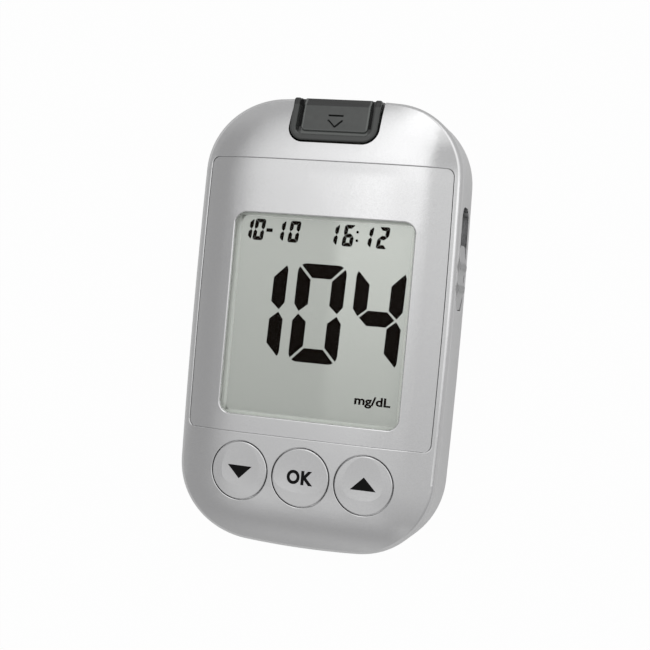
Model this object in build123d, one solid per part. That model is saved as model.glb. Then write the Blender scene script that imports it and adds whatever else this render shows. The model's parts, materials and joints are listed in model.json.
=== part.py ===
from build123d import *
import math
import os

# Blood glucose meter, in millimetres. It lies on its back: +X is to the right of the display,
# +Y points to the test-strip port and +Z out of the display. The origin is the middle of the
# flat back.

# ---------------------------------------------------------------- driving dimensions

# case
side_radius = 1400.0  # the long sides are shallow arcs
end_radius = 168.0  # and so are the ends
top_corner_radius = 16.0
bottom_corner_radius = 16.5
side_drop = 2.8  # fall of the crowned front at the long sides
top_roll_length = 17.3  # the front rolls off over this length towards the port
top_roll_radius = 30.0
bottom_roll_length = 14.6  # and over this length towards the bottom
bottom_roll_radius = 25.0
rim_radius = 1.3
opening_radius = 0.15  # on the case's edge round the panel and the keys
rear_edge_radius = 5.0
side_wall = 1.6
front_wall = 2.2
rear_wall = 1.8
parting_drop = 1.15  # the parting line follows the front surface at this depth
parting_gap = 0.2
tongue_inset = 0.8  # part of the side wall that stays outside the tongue
tongue_depth = 1.5
fit_gap = 0.1  # clearance between parts that are assembled and stay still
slide_gap = 0.15  # clearance round parts that move
overrun = 1.0  # cuts and hidden joins reach this far past a surface
surface_column_count = 16  # points across the front surface
surface_row_count = 44  # and along it
surface_margin = 1.5

# display panel
window_width = 38.4
window_length = 42.0
window_corner_radius = 2.4
window_edge_radius = 0.25
panel_above_window = 11.3
panel_below_window = 3.6
panel_side_inset = 1.7
panel_to_top = 13.8  # from the panel to the top end of the case
panel_corner_radius = 1.5
panel_thickness = 0.8
panel_step = 0.2  # the panel lies this far below the case's surface
panel_film = 0.1  # adhesive
panel_height_over_lens = 1.95  # height of the case over the lens
lens_margin = 1.2  # the lens reaches this far under the panel, all round
lens_thickness = 1.0
lens_ledge_height = 0.8
lens_ledge_margin = 0.5  # the ledge stays this far outside the window
lens_pocket_wall = 1.2

# liquid-crystal display
gasket_thickness = 0.2
gasket_width = 1.6
lcd_plate_thickness = 0.9
lcd_side_border = 2.5
lcd_end_border = 2.75
zebra_width = 1.6
zebra_height = 1.15
zebra_margin = 0.325  # free space on both long sides of a zebra strip
zebra_inset = 2.7
lcd_frame_wall = 1.6
lcd_frame_ledge = 1.0
lcd_frame_to_wall = 2.8

# main board
board_thickness = 1.0
board_clearance = 0.5
board_to_port = 0.8
board_notch_gap = 0.4
board_post_radius = 1.5
board_post_top = (5.3, 16.5)  # distances from the side and from the top end
board_post_bottom = (6.8, 22.5)  # distances from the side and from the bottom end

# keys
key_radius = 6.0
key_pitch_gap = 1.28  # between two keys
key_to_panel = 2.0
key_to_bottom = 9.2
key_gap = 0.2
key_dish_depth = 0.18
key_dish_rim = 0.3
key_edge_radius = 0.2
key_collar_wall = 1.2
key_flange_width = 0.5
key_flange_thickness = 0.8
key_flange_clearance = 0.5  # left under the flange when the key is fully pressed
key_stem_radius = 1.6
key_travel = 0.5
switch_size = 6.0
switch_height = 1.2
switch_cover_thickness = 0.3
plunger_radius = 1.0
plunger_rise = 0.6
plunger_depth = 0.4
plunger_play = 0.06

# test-strip port
port_width = 18.6
port_length = 9.2
port_inset = 0.35  # the port ends this far inside the case's end
port_corner_radius = 3.0
port_plate_drop = 2.6  # from the strip slot's middle down to the end plate's lower edge
port_rim_drop = 0.5  # the rim's inner end lies this far below the highest point of the case
port_rim_slope = 15.5  # degrees, down towards the end
port_rim_width = 1.3
port_tray_depth = 0.8
port_tray_edge = 0.2
port_tray_slope = (1.35, 1.4)  # length and fall of the slope at the tray's outer end
port_groove_width = 0.9
port_groove_depth = 1.3  # of the groove that runs round the tray
port_side_groove_depth = 2.2  # along the arms
port_edge_radius = 0.35
port_end_radius = 0.9  # where the arms roll down at the case's end
port_gap = 0.4
port_guide_width = 11.0
port_guide_drop = 1.6  # from the strip slot's middle down to the guide's underside
port_plate_thickness = 1.8
port_flange_width = 0.9
port_flange_height = 0.9
icon_setback = 5.05  # from the case's end
icon_bar_length = 3.2
icon_line_width = 0.4
icon_depth = 0.35
icon_gap = 1.1
icon_chevron_width = 2.9
icon_chevron_height = 1.4
strip_slot_width = 7.4
strip_slot_height = 1.1
strip_drop = 1.8  # from the board down to the strip slot's middle
strip_mouth_flare = 0.7

# strip connector
connector_width = 13.0
connector_length = 8.4
connector_drop = 3.4  # height below the board
contact_places = (-3.1, -1.9, 1.9, 3.1)
contact_width = 0.6
contact_thickness = 0.25
contact_play = 0.15
contact_foot_length = 1.0
contact_tip_drop = 0.2  # the tips reach this far below the strip slot's middle

# strip ejector
slot_height = 7.6
slot_drop = 0.8  # from the strip slot's middle down to the side slot's middle
slot_corner_radius = 2.6
slot_depth = 2.4
slot_end_play = 0.2
slot_side_play = 0.3
slot_to_arm = 15.1  # from the side slot's lower end up to the cross arm
slot_floor = 1.0
slot_boss_wall = 0.9
knob_length = 13.2
knob_proud = 0.35  # the ridges stand this far out of the side
knob_end_sink = 0.2  # the knob's ends lie this far below the side
knob_ridge_width = 0.8
knob_scallop_depth = 0.5
ejector_travel = 7.5
stem_length = 4.4
stem_height = 2.0
carriage_thickness = 1.4
carriage_height = 3.6
arm_width = 3.0
arm_thickness = 1.2
arm_to_connector = 1.15  # left between them at the end of the travel
finger_width = 2.4
finger_thickness = 0.5
finger_gap = 0.1  # the finger stops this far in front of the connector
guide_rib_width = 1.2
guide_rib_places = (8.0, 17.2)
spring_x = 12.8
spring_radius = 1.6
spring_wire_radius = 0.22
spring_turns = 6
spring_length = 14.0
spring_post_width = 4.4
spring_post_thickness = 1.6
spring_pin_radius = 1.0
spring_pin_length = 2.5
wire_side_count = 6  # the springs' wire is drawn as a polygon with this many sides

# battery bay
cell_radius = 5.25
cell_length = 44.5
cell_nub_radius = 1.9
cell_nub_height = 0.9
cell_edge = 0.6
cell_gap = 0.8  # between the two cells
cell_over_door = 0.3
bay_to_arm = 4.6
bay_gap = 0.3
bay_wall = 1.0
bay_roof = 0.7
contact_plate_thickness = 0.4
contact_plate_size = 9.0
contact_leg_width = 2.2
contact_dimple_radius = 1.6
contact_dimple_height = 0.6
battery_spring_space = 4.1  # between a cell's flat end and the wall of the bay
battery_spring_radius = 2.6
battery_spring_wire = 0.25
battery_spring_turns = 3

# battery door
door_overlap = 2.8  # the door is this much larger than the bay
door_thickness = 1.4
door_gap = 0.15
door_corner_radius = 2.0
door_rail_width = 0.8
door_rail_height = 0.6
door_rail_z = 0.7
door_rail_end_gap = 3.0
door_bed_thickness = 1.1
door_bed_margin = 1.6
door_grip_count = 5
door_grip_pitch = 1.8
door_grip_length = 13.0
door_grip_radius = 0.7
door_grip_depth = 0.4
door_grip_setback = 7.5  # from the door's upper end to the middle groove

# case screws
screw_top = (7.8, 10.5)  # distances from the side and from the top end
screw_bottom = (5.8, 12.5)  # distances from the side and from the bottom end
screw_head_radius = 1.9
screw_head_height = 1.3
screw_shank_radius = 0.95
screw_length = 8.0
screw_seat_z = 5.5
screw_seat_thickness = 3.5
screw_drive_width = 0.5
screw_drive_length = 2.2
screw_drive_depth = 0.6
screw_tube_wall = 1.0
screw_boss_radius = 2.2
screw_play = 0.05
screw_head_gap = 0.3

# small electronics, as (length along X, length along Y, height); a place is the distance of the
# middle from the board's left and upper edges
mcu_size = (10.0, 10.0, 1.4)
mcu_place = (11.7, 13.4)
lead_count = 8
lead_pitch = 1.0
lead_width = 0.4
lead_reach = 0.9
lead_thickness = 0.2
memory_size = (5.0, 4.0, 1.5)
memory_place = (7.2, 33.4)
crystal_size = (8.0, 3.2, 2.6)
crystal_place = (7.2, 24.4)
buzzer_radius = 4.5
buzzer_height = 2.6
buzzer_hole_radius = 0.8
buzzer_place = (6.9, 48.4)

# ---------------------------------------------------------------- derived values

# heights, from the back up
cell_z = door_thickness + cell_over_door + cell_radius
bay_ceiling = cell_z + cell_radius + fit_gap
board_bottom = bay_ceiling + bay_roof
board_top = board_bottom + board_thickness
lcd_middle = board_top + zebra_height
lcd_bottom = lcd_middle - lcd_plate_thickness
lcd_top = lcd_middle + lcd_plate_thickness
ledge_bottom = lcd_top + gasket_thickness
lens_bottom = ledge_bottom + lens_ledge_height
lens_top = lens_bottom + lens_thickness
body_height = lens_top + panel_height_over_lens
above_all = 1.25 * body_height
bed_bottom = door_thickness + fit_gap
switch_top = board_top + switch_height
plunger_top = switch_top + plunger_rise
flange_bottom = switch_top + key_travel + key_flange_clearance
flange_top = flange_bottom + key_flange_thickness
key_stop_z = flange_top + fit_gap  # underside of the guide collars, where the flanges stop
strip_slot_z = board_bottom - strip_drop
port_deck = board_bottom  # below this height only the strip guide and the end plate remain
port_base = strip_slot_z - port_plate_drop
port_rim_z = body_height - port_rim_drop
connector_bottom = board_bottom - connector_drop
arm_z = strip_slot_z
contact_tip_z = strip_slot_z - contact_tip_drop
slot_z = strip_slot_z - slot_drop
screw_tube_top = screw_seat_z + screw_seat_thickness

# across the case
lcd_width = window_width + 2 * lcd_side_border
zebra_length = lcd_width - 2 * zebra_inset
lcd_pocket_width = lcd_width + 2 * fit_gap
lcd_frame_width = lcd_pocket_width + 2 * lcd_frame_wall
body_width = lcd_frame_width + 2 * (lcd_frame_to_wall + side_wall)
half_width = body_width / 2
lens_pocket_width = window_width + 2 * (lens_margin + fit_gap)
lens_ring_width = lens_pocket_width + 2 * lens_pocket_wall
key_spacing = 2 * key_radius + key_pitch_gap
key_places = {"down": -key_spacing, "ok": 0.0, "up": key_spacing}
key_hole_radius = key_radius + key_gap
key_flange_radius = key_radius + key_flange_width
slot_back = half_width - slot_depth
carriage_side = slot_back - slot_floor - slide_gap
cell_spacing = 2 * cell_radius + cell_gap
left_cell_x = -cell_spacing / 2
right_cell_x = cell_spacing / 2
bay_half_width = cell_spacing / 2 + cell_radius + bay_gap
door_half_width = bay_half_width + door_overlap
board_left = side_wall + board_clearance - half_width

# along the case
panel_length = panel_below_window + window_length + panel_above_window
key_row_length = key_to_bottom + 2 * key_radius + key_to_panel
body_length = key_row_length + panel_length + panel_to_top
half_length = body_length / 2
top_roll_start = half_length - top_roll_length
bottom_roll_start = bottom_roll_length - half_length
key_y = key_to_bottom + key_radius - half_length
panel_top = half_length - panel_to_top
panel_bottom = panel_top - panel_length
window_y = panel_bottom + panel_below_window + window_length / 2
lens_pocket_length = window_length + 2 * (lens_margin + fit_gap)
lens_ring_length = lens_pocket_length + 2 * lens_pocket_wall
lcd_overhang = zebra_width + 2 * zebra_margin
lcd_front_length = window_length + 2 * lcd_end_border
lcd_rear_length = lcd_front_length - 2 * lcd_overhang
lcd_pocket_length = lcd_front_length + 2 * fit_gap
port_end = half_length - port_inset
port_inner_end = port_end - port_length
icon_y = half_length - icon_setback
beyond_end = half_length + side_wall
board_top_edge = port_inner_end - board_to_port
connector_end = port_inner_end - fit_gap
connector_start = connector_end - connector_length
arm_front = connector_start - ejector_travel - arm_to_connector
slot_bottom = arm_front - slot_to_arm
slot_length = knob_length + ejector_travel + 2 * slide_gap + slot_end_play
slot_y = slot_bottom + slot_length / 2
knob_y = slot_bottom + slide_gap + knob_length / 2
carriage_end = knob_y - stem_length / 2
contact_stop = contact_plate_thickness + contact_dimple_height
bay_top = arm_front - arm_width - bay_to_arm
bay_bottom = bay_top - cell_length - contact_stop - battery_spring_space
door_top = bay_top + door_overlap
door_grip_y = door_top - door_grip_setback


def from_left_and_top(place):
    """A chip's place in the case, from its distances to the board's left and upper edges."""
    inward, down = place
    return board_left + inward, board_top_edge - down


def from_side(place, side, end):
    """A place at given distances from one side (-1 or 1) and one end (-1 or 1) of the case."""
    from_edge, from_end = place
    return side * (half_width - from_edge), end * (half_length - from_end)


screw_places = [
    from_side(place, side, end) for place, end in ((screw_top, 1), (screw_bottom, -1)) for side in (-1, 1)
]
board_posts = [
    from_side(board_post_bottom, -1, -1),
    from_side(board_post_bottom, 1, -1),
    from_side(board_post_top, -1, 1),
]


# ---------------------------------------------------------------- shared shapes


def body_outline(inset=0.0):
    """The outline seen from the front: four shallow arcs with rounded corners."""
    side_shift = side_radius - half_width
    end_shift = end_radius - half_length
    outline = Pos(-side_shift, 0) * Rot(0, 0, 180) * Circle(side_radius - inset)
    outline &= Pos(side_shift, 0) * Circle(side_radius - inset)
    outline &= Pos(0, -end_shift) * Circle(end_radius - inset)
    outline &= Pos(0, end_shift) * Circle(end_radius - inset)
    outline = fillet(outline.vertices().sort_by(Axis.Y)[-2:], top_corner_radius - inset)
    outline = fillet(outline.vertices().sort_by(Axis.Y)[:2], bottom_corner_radius - inset)
    return outline.face()


def front_height(x, y):
    """Height of the front surface: a fourth-power crown across it, and rolled-off ends."""
    drop = side_drop * (x / half_width) ** 4
    if y > top_roll_start:
        drop += top_roll_radius - math.sqrt(top_roll_radius**2 - (y - top_roll_start) ** 2)
    if y < bottom_roll_start:
        drop += bottom_roll_radius
        drop -= math.sqrt(bottom_roll_radius**2 - (y - bottom_roll_start) ** 2)
    return body_height - drop


def front_surface():
    """The front surface as one smooth face that reaches a little past the body."""
    reach_x = half_width + surface_margin
    reach_y = half_length + surface_margin
    xs = [reach_x * (2 * i / surface_column_count - 1) for i in range(surface_column_count + 1)]
    ys = [reach_y * (2 * i / surface_row_count - 1) for i in range(surface_row_count + 1)]
    grid = [[(x, y, front_height(x, y)) for x in xs] for y in ys]
    return Face.make_surface_from_array_of_points(grid, tol=0.002)


over_front = Solid.extrude(front_surface(), Vector(0, 0, body_height))


def prism(face, bottom, top):
    """A flat face, extruded from one height to another."""
    return extrude(Pos(0, 0, bottom) * face, top - bottom)


def under_front(face, drop, bottom=0.0):
    """A flat face, extruded up to the front surface lowered by drop."""
    return prism(face, bottom, above_all) - Pos(0, 0, -drop) * over_front


def over_drop(face, drop):
    """A flat face, extruded from the front surface lowered by drop to above the part."""
    return prism(face, 0, above_all) - under_front(face, drop)


def box_between(xs, ys, zs):
    """A box from its two limits along each axis."""
    size = [high - low for low, high in (xs, ys, zs)]
    middle = [(high + low) / 2 for low, high in (xs, ys, zs)]
    return Pos(*middle) * Box(*size)


def disc(radius, x, y, bottom, top):
    """An upright cylinder."""
    return Pos(x, y, (bottom + top) / 2) * Cylinder(radius, top - bottom)


def rounded_window(margin, radius):
    """The window's outline, widened by a margin on every side."""
    width = window_width + 2 * margin
    length = window_length + 2 * margin
    return Pos(0, window_y) * RectangleRounded(width, length, radius)


def panel_outline(gap=0.0):
    """Straight top and bottom edges between sides that follow the body's outline."""
    sides = body_outline(panel_side_inset - gap)
    middle = (panel_top + panel_bottom) / 2
    length = panel_top - panel_bottom + 2 * gap
    band = Pos(0, middle) * Rectangle(body_width, length)
    outline = sides & band
    corners = [v for v in outline.vertices() if abs(abs(v.Y - middle) - length / 2) < fit_gap]
    return fillet(corners, panel_corner_radius).face()


def port_outline(gap=0.0, end=port_end):
    """The port seen from the front: a tongue with two rounded corners at its inner end."""
    start = port_inner_end - gap
    width = port_width + 2 * gap
    plate = Pos(0, (start + end) / 2) * Rectangle(width, end - start)
    inner = plate.vertices().sort_by(Axis.Y)[:2]
    return fillet(inner, port_corner_radius + gap)


def door_outline(gap=0.0):
    """The battery door seen from behind, reaching past the bottom end of the body."""
    end = -beyond_end
    top = door_top + gap
    plate = Pos(0, (top + end) / 2) * Rectangle(2 * (door_half_width + gap), top - end)
    return fillet(plate.vertices().sort_by(Axis.Y)[-2:], door_corner_radius + gap)


def outer_block(drop):
    """The whole body up to the front surface lowered by drop, with its rear edge rounded."""
    block = under_front(body_outline(), drop)
    rear_edges = block.faces().sort_by(Axis.Z)[0].edges()
    return fillet(rear_edges, rear_edge_radius)


# ---------------------------------------------------------------- housings


def front_housing():
    """Crowned front shell with the panel recess, window ledge, key guides and screw bosses."""
    block = under_front(body_outline(), 0)
    rim = block.faces().sort_by(Axis.Z)[-1].edges()
    shell = fillet(rim, rim_radius) - under_front(body_outline(), parting_drop)
    liner_face = body_outline(tongue_inset + fit_gap)
    liner = under_front(liner_face, parting_drop / 2)
    liner -= under_front(liner_face, parting_drop + tongue_depth)
    shell = shell + liner - under_front(body_outline(side_wall), front_wall)

    ring = Pos(0, window_y) * Rectangle(lens_ring_width, lens_ring_length)
    shell += under_front(ring, front_wall / 2, ledge_bottom)
    for x in key_places.values():
        collar = Pos(x, key_y) * Circle(key_hole_radius + key_collar_wall)
        shell += under_front(collar, front_wall / 2, key_stop_z)
    for x, y in screw_places:
        boss = Pos(x, y) * Circle(screw_boss_radius)
        shell += under_front(boss, front_wall / 2, screw_tube_top)

    shell -= over_drop(panel_outline(fit_gap), panel_step + panel_thickness + panel_film)
    lens_pocket = rounded_window(lens_margin + fit_gap, window_corner_radius)
    shell -= prism(lens_pocket, lens_bottom, above_all)
    shell -= prism(rounded_window(lens_ledge_margin, window_corner_radius), 0, above_all)
    for x in key_places.values():
        shell -= disc(key_hole_radius, x, key_y, 0, above_all)
    front = shell.faces().sort_by(Axis.Z)[-1]
    shell = fillet(front.inner_wires().edges(), opening_radius)
    for x in key_places.values():
        shell -= disc(key_flange_radius + slide_gap, x, key_y, flange_bottom, key_stop_z)
    for x, y in screw_places:
        hole_top = screw_seat_z + screw_length + 2 * fit_gap
        shell -= disc(screw_shank_radius + screw_play, x, y, 0, hole_top)
    shell -= prism(port_outline(port_gap, beyond_end), 0, above_all)
    return shell


def rear_shell():
    """The bare tub: walls, floor and the rebate that takes the front housing's tongue."""
    shell = outer_block(parting_drop + parting_gap)
    cavity = prism(body_outline(side_wall), rear_wall, above_all)
    floor_edges = cavity.faces().sort_by(Axis.Z)[0].edges()
    return shell - fillet(floor_edges, rear_edge_radius - side_wall)


def rear_supports():
    """What stands on the rear floor: battery bay, door bed, posts, ribs and screw tubes."""
    outer_x = bay_half_width + bay_wall
    supports = [
        box_between(
            (-outer_x, outer_x),
            (bay_bottom - bay_wall, bay_top + bay_wall),
            (bed_bottom, board_bottom),
        )
    ]
    bed_x = door_half_width + door_rail_width + door_bed_margin
    bed_ys = (-half_length + 1.5 * side_wall, door_top + door_bed_margin)
    supports.append(
        box_between((-bed_x, bed_x), bed_ys, (bed_bottom, bed_bottom + door_bed_thickness))
    )
    for x, y in board_posts:
        supports.append(disc(board_post_radius, x, y, rear_wall / 2, board_bottom))
    for x, y in screw_places:
        tube_radius = screw_head_radius + screw_head_gap + screw_tube_wall
        supports.append(disc(tube_radius, x, y, rear_wall / 2, screw_tube_top - fit_gap))
    boss_height = slot_height / 2 + slot_boss_wall
    supports.append(
        box_between(
            (slot_back - slot_floor, half_width - side_wall / 2),
            (slot_bottom - slot_boss_wall, slot_bottom + slot_length + slot_boss_wall),
            (slot_z - boss_height, slot_z + boss_height),
        )
    )
    rib_top = arm_z - arm_thickness / 2 - fit_gap
    rib_ys = (arm_front - arm_width, arm_front + ejector_travel)
    for x in guide_rib_places:
        rib_xs = (x - guide_rib_width / 2, x + guide_rib_width / 2)
        supports.append(box_between(rib_xs, rib_ys, (rear_wall / 2, rib_top)))
    post_y = arm_front + spring_length
    supports.append(
        box_between(
            (spring_x - spring_post_width / 2, spring_x + spring_post_width / 2),
            (post_y, post_y + spring_post_thickness),
            (rear_wall / 2, board_bottom - fit_gap),
        )
    )
    pin = Pos(spring_x, post_y - spring_pin_length / 2, arm_z) * Rot(90, 0, 0)
    supports.append(pin * Cylinder(spring_pin_radius, spring_pin_length))
    return supports


def rear_housing():
    """Rear tub with the battery bay, the ejector slot, the port notch and the door's rails."""
    shell = rear_shell()
    for support in rear_supports():
        shell += support

    rebate_drop = parting_drop + tongue_depth + fit_gap
    shell -= over_drop(body_outline(tongue_inset), rebate_drop)
    bay_xs = (-bay_half_width, bay_half_width)
    shell -= box_between(bay_xs, (bay_bottom, bay_top), (-overrun, bay_ceiling))
    shell -= prism(door_outline(door_gap), -overrun, bed_bottom)
    rail_x = door_half_width + door_rail_width + door_gap
    shell -= box_between(
        (-rail_x, rail_x),
        (-beyond_end, door_top - door_rail_end_gap + door_gap),
        (door_rail_z - fit_gap, door_rail_z + door_rail_height + fit_gap),
    )
    for x, y in screw_places:
        head_hole = screw_head_radius + screw_head_gap
        shell -= disc(head_hole, x, y, -overrun, screw_seat_z)
        shell -= disc(screw_shank_radius + 4 * screw_play, x, y, 0, board_top)

    recess = Pos(slot_y, slot_z) * RectangleRounded(slot_length, slot_height, slot_corner_radius)
    side_plane = Plane(origin=(slot_back, 0, 0), x_dir=(0, 1, 0), z_dir=(1, 0, 0))
    shell -= extrude(side_plane * recess, slot_depth + overrun)
    stem_ys = (
        carriage_end - slide_gap,
        carriage_end + stem_length + ejector_travel + slide_gap,
    )
    stem_half = stem_height / 2 + slide_gap
    stem_xs = (slot_back - slot_floor - overrun, slot_back + overrun)
    shell -= box_between(stem_xs, stem_ys, (slot_z - stem_half, slot_z + stem_half))
    notch = port_outline(port_gap, beyond_end)
    shell -= prism(notch, port_base - port_gap, above_all)
    for x in (left_cell_x, right_cell_x):
        leg_half = contact_leg_width / 2 + fit_gap
        leg_ys = (bay_top - contact_plate_thickness - fit_gap, bay_top)
        shell -= box_between((x - leg_half, x + leg_half), leg_ys, (bay_ceiling - overrun, board_top))
    return shell


# ---------------------------------------------------------------- display


def face_panel():
    """The silver plate round the display, crowned like the housing."""
    panel = under_front(panel_outline(), panel_step)
    panel -= under_front(panel_outline(), panel_step + panel_thickness)
    panel -= prism(rounded_window(0, window_corner_radius), 0, above_all)
    front = panel.faces().sort_by(Axis.Z)[-1]
    opening = front.inner_wires()[0].edges()
    return fillet(opening, window_edge_radius)


def window_lens():
    """Clear flat cover in the housing's pocket, under the panel."""
    lens = rounded_window(lens_margin, window_corner_radius)
    return prism(lens, lens_bottom, lens_top)


def lcd_gasket():
    """Foam ring between the lens ledge and the display glass."""
    inner = rounded_window(lens_ledge_margin, window_corner_radius)
    outer = rounded_window(lens_ledge_margin + gasket_width, window_corner_radius)
    return prism(outer - inner, lcd_top, ledge_bottom)


def lcd_glass():
    """Two bonded glass plates; the front one overhangs to carry the contact rows."""
    front = Pos(0, window_y) * Rectangle(lcd_width, lcd_front_length)
    rear = Pos(0, window_y) * Rectangle(lcd_width, lcd_rear_length)
    return prism(front, lcd_middle, lcd_top) + prism(rear, lcd_bottom, lcd_middle)


def lcd_frame():
    """Moulded frame that locates the glass on the board."""
    outer = Rectangle(lcd_frame_width, lcd_pocket_length + 2 * lcd_frame_wall)
    through = Rectangle(lcd_pocket_width - 2 * lcd_frame_ledge, lcd_pocket_length)
    frame = prism(Pos(0, window_y) * (outer - through), board_top, lcd_top)
    pocket = Pos(0, window_y) * Rectangle(lcd_pocket_width, lcd_pocket_length)
    return frame - prism(pocket, lcd_bottom, above_all)


def zebra_strip(side):
    """Rubber contact strip between the board and the glass, at one end of the display."""
    middle = (lcd_front_length + lcd_rear_length) / 4
    strip = Pos(0, window_y + side * middle) * Rectangle(zebra_length, zebra_width)
    return prism(strip, board_top, lcd_middle)


# ---------------------------------------------------------------- board


def main_board():
    """Circuit board, notched round the screw bosses and the ejector slot."""
    outline = body_outline(side_wall + board_clearance)
    cut = Pos(0, board_top_edge + half_length / 2) * Rectangle(body_width, half_length)
    board = prism(outline - cut, board_bottom, board_top)
    for x, y in screw_places:
        notch_radius = screw_boss_radius + board_notch_gap
        board -= disc(notch_radius, x, y, 0, above_all)
        outward = (x, x + math.copysign(side_wall * 3, x))
        board -= box_between(sorted(outward), (y - notch_radius, y + notch_radius), (0, above_all))
    notch_xs = (slot_back - slot_floor - board_notch_gap, half_width)
    notch_ys = (
        slot_bottom - slot_boss_wall - board_notch_gap,
        slot_bottom + slot_length + slot_boss_wall + board_notch_gap,
    )
    return board - box_between(notch_xs, notch_ys, (0, above_all))


def chip(size, place, leads=0):
    """A moulded chip under the board, with an optional row of leads on each of four sides."""
    length, width, height = size
    x, y = from_left_and_top(place)
    body = Pos(x, y, board_bottom - height / 2) * Box(length, width, height)
    body = chamfer(body.faces().sort_by(Axis.Z)[0].edges(), height / 5)
    for i in range(leads):
        along = (i - (leads - 1) / 2) * lead_pitch
        z = board_bottom - lead_thickness / 2
        body += Pos(x, y + along, z) * Box(length + 2 * lead_reach, lead_width, lead_thickness)
        body += Pos(x + along, y, z) * Box(lead_width, width + 2 * lead_reach, lead_thickness)
    return body


def crystal():
    """Metal can with round ends."""
    length, width, height = crystal_size
    outline = Pos(*from_left_and_top(crystal_place)) * SlotOverall(length, width)
    can = prism(outline, board_bottom - height, board_bottom)
    return chamfer(can.faces().sort_by(Axis.Z)[0].edges(), height / 8)


def buzzer():
    """Round sounder with its sound hole."""
    x, y = from_left_and_top(buzzer_place)
    bottom = board_bottom - buzzer_height
    can = disc(buzzer_radius, x, y, bottom, board_bottom)
    can = chamfer(can.faces().sort_by(Axis.Z)[0].edges(), buzzer_height / 8)
    return can - disc(buzzer_hole_radius, x, y, bottom - overrun, bottom + buzzer_height / 2)


# ---------------------------------------------------------------- keys


def key_cap(x):
    """Round key with a dished top, a retaining flange and a stem."""
    cap = under_front(Pos(x, key_y) * Circle(key_radius), 0, flange_bottom)
    rim = cap.faces().sort_by(Axis.Z)[-1].edges()
    cap = fillet(rim, key_edge_radius)
    cap += disc(key_flange_radius, x, key_y, flange_bottom, flange_top)
    cap += disc(key_stem_radius, x, key_y, plunger_top, flange_bottom)
    dish_reach = key_radius - key_dish_rim
    dish_radius = (dish_reach**2 + key_dish_depth**2) / (2 * key_dish_depth)
    step = key_radius / 10
    slope_x = (front_height(x + step, key_y) - front_height(x - step, key_y)) / (2 * step)
    normal = Vector(-slope_x, 0, 1).normalized()
    surface_point = Vector(x, key_y, front_height(x, key_y))
    centre = surface_point + normal * (dish_radius - key_dish_depth)
    return cap - Pos(*centre) * Sphere(dish_radius)


def key_switch(x):
    """Tactile switch: a square base under a thin metal cover, bored for its plunger."""
    cover_bottom = switch_top - switch_cover_thickness
    place = Pos(x, key_y)
    base = prism(place * Rectangle(switch_size, switch_size), board_top, cover_bottom)
    cover_size = switch_size - 2 * switch_cover_thickness
    base += prism(place * Rectangle(cover_size, cover_size), cover_bottom, switch_top)
    bore_bottom = switch_top - plunger_depth - key_travel - fit_gap
    return base - disc(plunger_radius + plunger_play, x, key_y, bore_bottom, above_all)


def key_plunger(x):
    """The switch's plunger, which the key's stem presses."""
    return disc(plunger_radius, x, key_y, switch_top - plunger_depth, plunger_top)


# ---------------------------------------------------------------- strip port


def rim_height(y):
    """Height of the port's sloping rim plane."""
    return port_rim_z - (y - port_inner_end) * math.tan(math.radians(port_rim_slope))


def rim_wedge(depth):
    """Everything below the port's rim plane, lowered by depth."""
    start, end = port_inner_end - overrun, beyond_end + overrun
    start_z = rim_height(start) - depth
    end_z = rim_height(end) - depth
    profile = make_face(Polyline((start, 0), (end, 0), (end, end_z), (start, start_z), close=True))
    side = Plane(origin=(-port_width, 0, 0), x_dir=(0, 1, 0), z_dir=(1, 0, 0))
    return extrude(side * profile, 2 * port_width)


def under_rim(face, depth, bottom):
    """A flat face, extruded up to the port's rim plane lowered by depth."""
    return prism(face, bottom, above_all) & rim_wedge(depth)


def over_rim(face, depth):
    """A flat face, extruded from the port's rim plane lowered by depth to above the part."""
    return prism(face, 0, above_all) - rim_wedge(depth)


def inside_port(margin):
    """The port's outline moved inward by margin, open at the case's end."""
    start = port_inner_end + margin
    width = port_width - 2 * margin
    outline = Pos(0, (start + beyond_end) / 2) * Rectangle(width, beyond_end - start)
    return fillet(outline.vertices().sort_by(Axis.Y)[:2], port_corner_radius - margin)


def insert_icon():
    """A short bar over a chevron that points into the meter."""
    bar = Pos(0, icon_y + icon_gap) * Rectangle(icon_bar_length, icon_line_width)
    arm = math.hypot(icon_chevron_width / 2, icon_chevron_height)
    angle = math.degrees(math.atan2(icon_chevron_height, icon_chevron_width / 2))
    icon = bar
    for side in (-1, 1):
        middle = Pos(side * icon_chevron_width / 4, icon_y - icon_chevron_height / 2)
        icon += middle * Rot(0, 0, side * angle) * SlotOverall(arm + icon_line_width, icon_line_width)
    return icon


def port_rim():
    """U-shaped rim with a recess for the tray."""
    rim = under_rim(port_outline(), 0, port_deck)
    end_edge = rim.faces().sort_by(Axis.Z)[-1].edges().sort_by(Axis.Y)[-1]
    rim = fillet(end_edge, port_end_radius)
    outer_edges = rim.faces().sort_by(Axis.Z)[-1].edges().sort_by(Axis.Y)[:-1]
    rim = fillet(outer_edges, port_edge_radius)
    rim -= over_rim(inside_port(port_rim_width), port_groove_depth)
    inner_half = port_width / 2 - port_rim_width
    inner_edges = [
        edge
        for edge in rim.edges()
        if abs(edge.center().X) < inner_half + fit_gap
        and edge.center().Y > port_inner_end + port_rim_width / 2
        and abs(edge.center().Z - rim_height(edge.center().Y)) < fit_gap
    ]
    rim = fillet(inner_edges, port_edge_radius)
    for side in (-1, 1):
        groove_x = side * (inner_half - port_groove_width / 2)
        groove_start = port_inner_end + port_corner_radius
        groove = Rectangle(port_groove_width, beyond_end - groove_start)
        groove = Pos(groove_x, (groove_start + beyond_end) / 2) * groove
        rim -= over_rim(groove, port_side_groove_depth)
    return rim


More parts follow.
